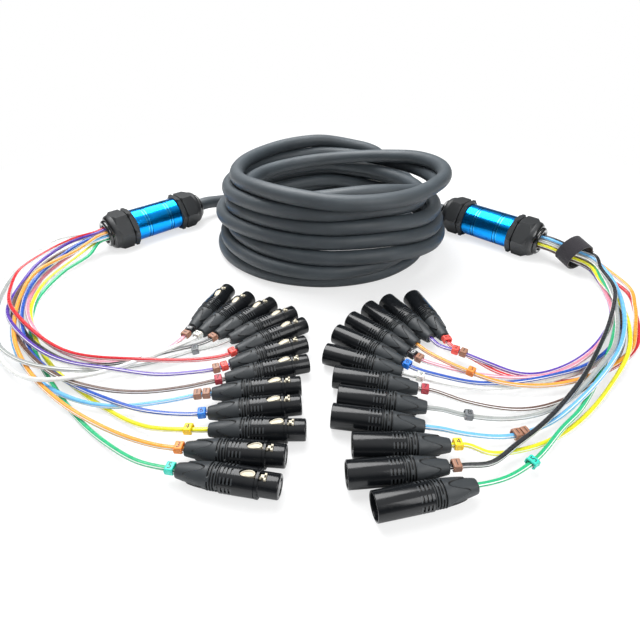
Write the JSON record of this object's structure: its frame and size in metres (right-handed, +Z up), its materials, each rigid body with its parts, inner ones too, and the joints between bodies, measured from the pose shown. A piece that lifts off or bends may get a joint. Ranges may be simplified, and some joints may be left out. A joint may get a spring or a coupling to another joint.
{
  "type": "multicore audio snake with connector fan-outs",
  "caption": "Coiled multicore audio cable with an aluminium fan-out tube at each end, one fan of tails with female three pole connectors and one with male.",
  "frame": {"origin": "on the ground, midway between the two fan-out tubes", "axes": "+Z up from the ground, +X from the fan-out of the female connectors to the fan-out of the male ones, -Y towards the connectors"},
  "size_m": [0.6869, 0.5233, 0.1099],
  "materials": {
    "anodised_barrel": "glossy blue anodised",
    "gland_nylon": "moulded black nylon",
    "seal_rubber": "matte",
    "trunk_jacket": "matte charcoal jacket",
    "tail_jacket": "clear jacket over a coloured pair",
    "connector_shell": "black chromed shell",
    "boot_rubber": "matte boot",
    "latch_metal": "nickel",
    "contact_metal": "silver contacts",
    "number_clip": "coloured clip-on rings",
    "tie_webbing": "hook and loop tape"
  },
  "bodies": {
    "root": {"left_fanout_barrel": "anodised_barrel", "left_tail_gland_body": "gland_nylon", "left_tail_gland_nut": "gland_nylon", "left_trunk_gland_body": "gland_nylon", "left_trunk_gland_nut": "gland_nylon", "left_trunk_gland_seal": "seal_rubber", "left_core_bundle": "trunk_jacket", "right_fanout_barrel": "anodised_barrel", "right_tail_gland_body": "gland_nylon", "right_tail_gland_nut": "gland_nylon", "right_trunk_gland_body": "gland_nylon", "right_trunk_gland_nut": "gland_nylon", "right_trunk_gland_seal": "seal_rubber", "right_core_bundle": "trunk_jacket", "trunk_coil": "trunk_jacket", "trunk_lead_left": "trunk_jacket", "trunk_lead_right": "trunk_jacket", "female_connector_01": "connector_shell", "female_connector_02": "connector_shell", "female_connector_03": "connector_shell", "female_connector_04": "connector_shell", "female_connector_05": "connector_shell", "female_connector_06": "connector_shell", "female_connector_07": "connector_shell", "female_connector_08": "connector_shell", "female_connector_09": "connector_shell", "female_connector_10": "connector_shell", "female_connector_11": "connector_shell", "female_connector_12": "connector_shell", "male_connector_01": "connector_shell", "male_connector_02": "connector_shell", "male_connector_03": "connector_shell", "male_connector_04": "connector_shell", "male_connector_05": "connector_shell", "male_connector_06": "connector_shell", "male_connector_07": "connector_shell", "male_connector_08": "connector_shell", "male_connector_09": "connector_shell", "male_connector_10": "connector_shell", "male_connector_11": "connector_shell", "male_connector_12": "connector_shell", "left_fan_tails": "tail_jacket", "right_fan_tails": "tail_jacket", "tie_strap": "tie_webbing"},
    "latch_01": {"female_latch_01": "latch_metal"},
    "latch_02": {"female_latch_02": "latch_metal"},
    "latch_03": {"female_latch_03": "latch_metal"},
    "latch_04": {"female_latch_04": "latch_metal"},
    "latch_05": {"female_latch_05": "latch_metal"},
    "latch_06": {"female_latch_06": "latch_metal"},
    "latch_07": {"female_latch_07": "latch_metal"},
    "latch_08": {"female_latch_08": "latch_metal"},
    "latch_09": {"female_latch_09": "latch_metal"},
    "latch_10": {"female_latch_10": "latch_metal"},
    "latch_11": {"female_latch_11": "latch_metal"},
    "latch_12": {"female_latch_12": "latch_metal"}
  },
  "joints": [
    {"name": "latch_press_01", "type": "hinge", "parent": "root", "child": "latch_01", "pos_m": [-0.10449, -0.17072, 0.0157], "axis": [-0.9455, 0.3256, 0], "range_deg": [0, 4], "stiffness_Nm_per_rad": 0.02},
    {"name": "latch_press_02", "type": "hinge", "parent": "root", "child": "latch_02", "pos_m": [-0.08598, -0.18261, 0.0157], "axis": [-0.848, 0.5299, 0], "range_deg": [0, 4], "stiffness_Nm_per_rad": 0.02},
    {"name": "latch_press_03", "type": "hinge", "parent": "root", "child": "latch_03", "pos_m": [-0.06528, -0.19043, 0.0157], "axis": [-0.7431, 0.6691, 0], "range_deg": [0, 4], "stiffness_Nm_per_rad": 0.02},
    {"name": "latch_press_04", "type": "hinge", "parent": "root", "child": "latch_04", "pos_m": [-0.04671, -0.20281, 0.0157], "axis": [-0.5878, 0.809, 0], "range_deg": [0, 4], "stiffness_Nm_per_rad": 0.02},
    {"name": "latch_press_05", "type": "hinge", "parent": "root", "child": "latch_05", "pos_m": [-0.03658, -0.21998, 0.0157], "axis": [-0.5446, 0.8387, 0], "range_deg": [0, 4], "stiffness_Nm_per_rad": 0.02},
    {"name": "latch_press_06", "type": "hinge", "parent": "root", "child": "latch_06", "pos_m": [-0.03685, -0.24407, 0.0157], "axis": [-0.4067, 0.9135, 0], "range_deg": [0, 4], "stiffness_Nm_per_rad": 0.02},
    {"name": "latch_press_07", "type": "hinge", "parent": "root", "child": "latch_07", "pos_m": [-0.03555, -0.26579, 0.0157], "axis": [-0.2756, 0.9613, 0], "range_deg": [0, 4], "stiffness_Nm_per_rad": 0.02},
    {"name": "latch_press_08", "type": "hinge", "parent": "root", "child": "latch_08", "pos_m": [-0.0415, -0.28848, 0.0157], "axis": [-0.1219, 0.9925, 0], "range_deg": [0, 4], "stiffness_Nm_per_rad": 0.02},
    {"name": "latch_press_09", "type": "hinge", "parent": "root", "child": "latch_09", "pos_m": [-0.04051, -0.30781, 0.0157], "axis": [-0.1219, 0.9925, 0], "range_deg": [0, 4], "stiffness_Nm_per_rad": 0.02},
    {"name": "latch_press_10", "type": "hinge", "parent": "root", "child": "latch_10", "pos_m": [-0.0365, -0.32826, 0.0157], "axis": [0, 1, 0], "range_deg": [0, 4], "stiffness_Nm_per_rad": 0.02},
    {"name": "latch_press_11", "type": "hinge", "parent": "root", "child": "latch_11", "pos_m": [-0.0491, -0.348, 0.0157], "axis": [0.0872, 0.9962, 0], "range_deg": [0, 4], "stiffness_Nm_per_rad": 0.02},
    {"name": "latch_press_12", "type": "hinge", "parent": "root", "child": "latch_12", "pos_m": [-0.05106, -0.36819, 0.0157], "axis": [0.1736, 0.9848, 0], "range_deg": [0, 4], "stiffness_Nm_per_rad": 0.02}
  ]
}
